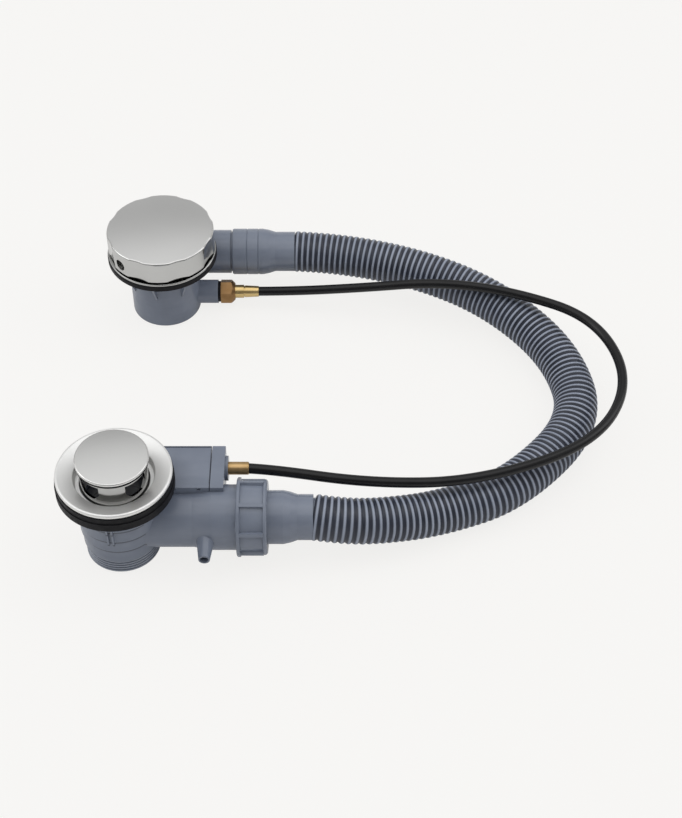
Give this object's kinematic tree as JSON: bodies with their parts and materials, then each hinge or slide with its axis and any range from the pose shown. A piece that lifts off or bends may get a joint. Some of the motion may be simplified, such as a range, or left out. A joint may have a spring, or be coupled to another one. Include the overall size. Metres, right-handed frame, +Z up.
{
  "type": "bath waste and overflow",
  "caption": "Pop-up bath waste with strainer plug, cable box and union nut, joined by corrugated hose and sheathed cable to an overflow with a lobed turning knob.",
  "frame": {"origin": "centre of the waste outlet's lower end, on the surface that the set lies on", "axes": "+Z up along the plug's travel, +X from the waste along its side tube towards the hose loop, +Y from the waste towards the overflow"},
  "size_m": [0.3734, 0.3061, 0.086],
  "materials": {
    "chrome": "polished chrome plate on brass",
    "grey_plastic": "moulded slate grey plastic, slight sheen",
    "hose_plastic": "blow-moulded slate grey plastic",
    "black_rubber": "matt black rubber",
    "black_sheath": "smooth black sheath with a soft shine",
    "brass": "turned brass",
    "steel_wire": "bright steel",
    "black_steel": "blackened steel"
  },
  "bodies": {
    "fixed_set": {"waste_flange": "chrome", "flange_seal": "black_rubber", "bath_seal": "black_rubber", "waste_body": "grey_plastic", "axle_o_ring": "black_rubber", "box_lid": "grey_plastic", "box_end_block": "grey_plastic", "lower_ferrule": "brass", "union_nut": "grey_plastic", "cone_washer": "black_rubber", "lower_hose_cuff": "hose_plastic", "overflow_hose": "hose_plastic", "upper_hose_cuff": "hose_plastic", "cable_sheath": "black_sheath", "cable_core": "steel_wire", "overflow_body": "grey_plastic", "overflow_seal": "black_rubber", "face_plate": "chrome", "plate_screws": "steel_wire", "gland_o_ring": "black_rubber", "gland_nut": "brass", "gland_sleeve": "brass"},
    "knob_and_spindle": {"overflow_knob": "chrome", "knob_grub_screw": "black_steel", "overflow_spindle": "brass", "spindle_clip": "steel_wire"},
    "slider": {"wire_slider": "grey_plastic"},
    "wire_end": {"lower_wire_end": "steel_wire"},
    "lever": {"lift_axle": "brass", "lift_finger": "grey_plastic", "crank_arm": "grey_plastic"},
    "plug": {"plug_cap": "chrome", "plug_seal": "black_rubber", "plug_basket": "chrome", "plug_stem": "brass"}
  },
  "joints": [
    {"name": "knob_turn", "type": "hinge", "parent": "fixed_set", "child": "knob_and_spindle", "pos_m": [0.012, 0.226, 0.06], "axis": [0, 0, 1], "range_deg": [0, 90]},
    {"name": "slider_travel", "type": "slide", "parent": "fixed_set", "child": "slider", "axis": [1, 0, 0], "range_m": [0, 0.01746]},
    {"name": "wire_end_travel", "type": "slide", "parent": "fixed_set", "child": "wire_end", "axis": [1, 0, 0], "range_m": [-0.01746, 0]},
    {"name": "lever_swing", "type": "hinge", "parent": "fixed_set", "child": "lever", "pos_m": [0.01726, 0, 0.0259], "axis": [0, 1, 0], "range_deg": [-60.05, 0]},
    {"name": "plug_lift", "type": "slide", "parent": "fixed_set", "child": "plug", "axis": [0, 0, 1], "range_m": [-0.01852, 0]}
  ],
  "couplings": [
    {"joint": "slider_travel", "follows": "knob_turn", "m_per_rad": 0.0111},
    {"joint": "wire_end_travel", "follows": "knob_turn", "m_per_rad": -0.0111},
    {"joint": "lever_swing", "follows": "knob_turn", "ratio": -0.66667},
    {"joint": "plug_lift", "follows": "knob_turn", "m_per_rad": -0.011777}
  ]
}
